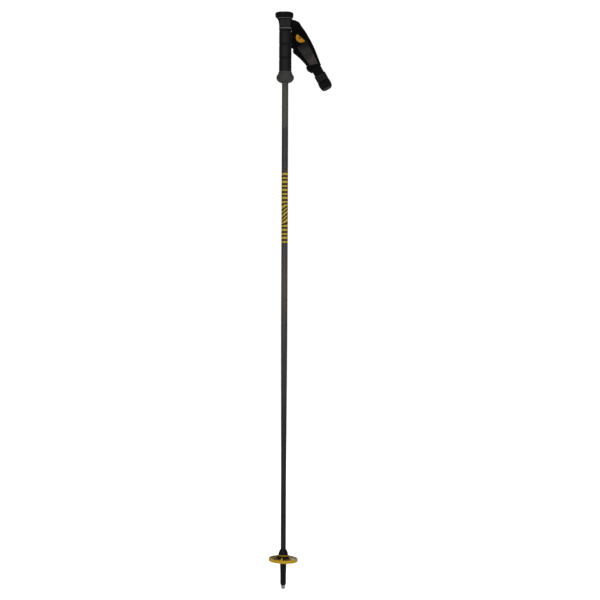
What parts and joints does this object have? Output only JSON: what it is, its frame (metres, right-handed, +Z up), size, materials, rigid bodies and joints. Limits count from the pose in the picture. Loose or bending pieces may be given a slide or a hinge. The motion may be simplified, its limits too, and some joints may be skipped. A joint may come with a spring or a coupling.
{
  "type": "alpine ski pole",
  "caption": "Alpine ski pole: tapered tube, rubber grip with mushroom cap, padded hand strap, push-fit snow basket and steel crown tip.",
  "frame": {"origin": "lowest point of the crown tip, on the pole's axis", "axes": "+Z up the shaft towards the grip, +X to the side that the strap hangs on, -Y the side that the strap's badge faces"},
  "size_m": [0.1332, 0.063, 1.25],
  "materials": {
    "shaft_paint": "satin paint on drawn tube",
    "black_plastic": "fine moulded grain",
    "tip_steel": "turned",
    "head_plastic": "satin",
    "grip_rubber": "fine texture",
    "collar_plastic": "satin",
    "ring_plastic": "satin",
    "cap_rubber": "smooth",
    "fastener_steel": "zinc plated",
    "cap_badge_plastic": "satin",
    "panel_plastic": "fine grain",
    "webbing": "woven",
    "band_fabric": "knitted",
    "lining_fabric": "brushed",
    "binding_tape": "woven tape",
    "grey_fabric": "ripstop weave",
    "patch_fabric": "fine weave",
    "yellow_badge": "moulded",
    "tab_fabric": "woven",
    "keeper_fabric": "woven",
    "yellow_plastic": "moulded",
    "basket_black": "moulded"
  },
  "bodies": {
    "pole": {"shaft_tube": "shaft_paint", "shaft_plug": "black_plastic", "tip_ferrule": "black_plastic", "tip_crown": "tip_steel", "grip_core": "head_plastic", "grip_sleeve": "grip_rubber", "grip_collar": "collar_plastic", "head_ring": "ring_plastic", "cap_ring": "ring_plastic", "grip_cap": "cap_rubber", "cap_washer": "fastener_steel", "cap_screw": "fastener_steel", "cap_badge": "cap_badge_plastic", "head_panel_front": "panel_plastic", "head_panel_back": "panel_plastic", "strap_pin": "fastener_steel", "strap_root": "webbing"},
    "strap": {"strap_neck": "webbing", "strap_band": "band_fabric", "strap_lining": "lining_fabric", "strap_binding_outer": "binding_tape", "strap_binding_inner": "binding_tape", "strap_panel": "grey_fabric", "strap_patch": "patch_fabric", "strap_badge": "yellow_badge", "strap_webbing": "webbing", "strap_return": "webbing", "strap_end_tab": "tab_fabric"},
    "slider": {"strap_slider": "black_plastic"},
    "keeper": {"strap_keeper": "keeper_fabric"},
    "basket": {"basket_rim": "yellow_plastic", "basket_top": "basket_black"}
  },
  "joints": [
    {"name": "strap_swing", "type": "hinge", "parent": "pole", "child": "strap", "pos_m": [0.0163, 0, 1.226], "axis": [0, 0, 1], "range_deg": [0, 65]},
    {"name": "slider_slide", "type": "slide", "parent": "strap", "child": "slider", "axis": [0.4848, 0, -0.8746], "range_m": [-0.003, 0.003]},
    {"name": "keeper_slide", "type": "slide", "parent": "strap", "child": "keeper", "axis": [0.4848, 0, -0.8746], "range_m": [-0.01, 0.0006]},
    {"name": "basket_spin", "type": "hinge", "parent": "pole", "child": "basket", "pos_m": [0, 0, 0.0644], "axis": [0.0314, 0, 0.9995], "continuous": true}
  ]
}
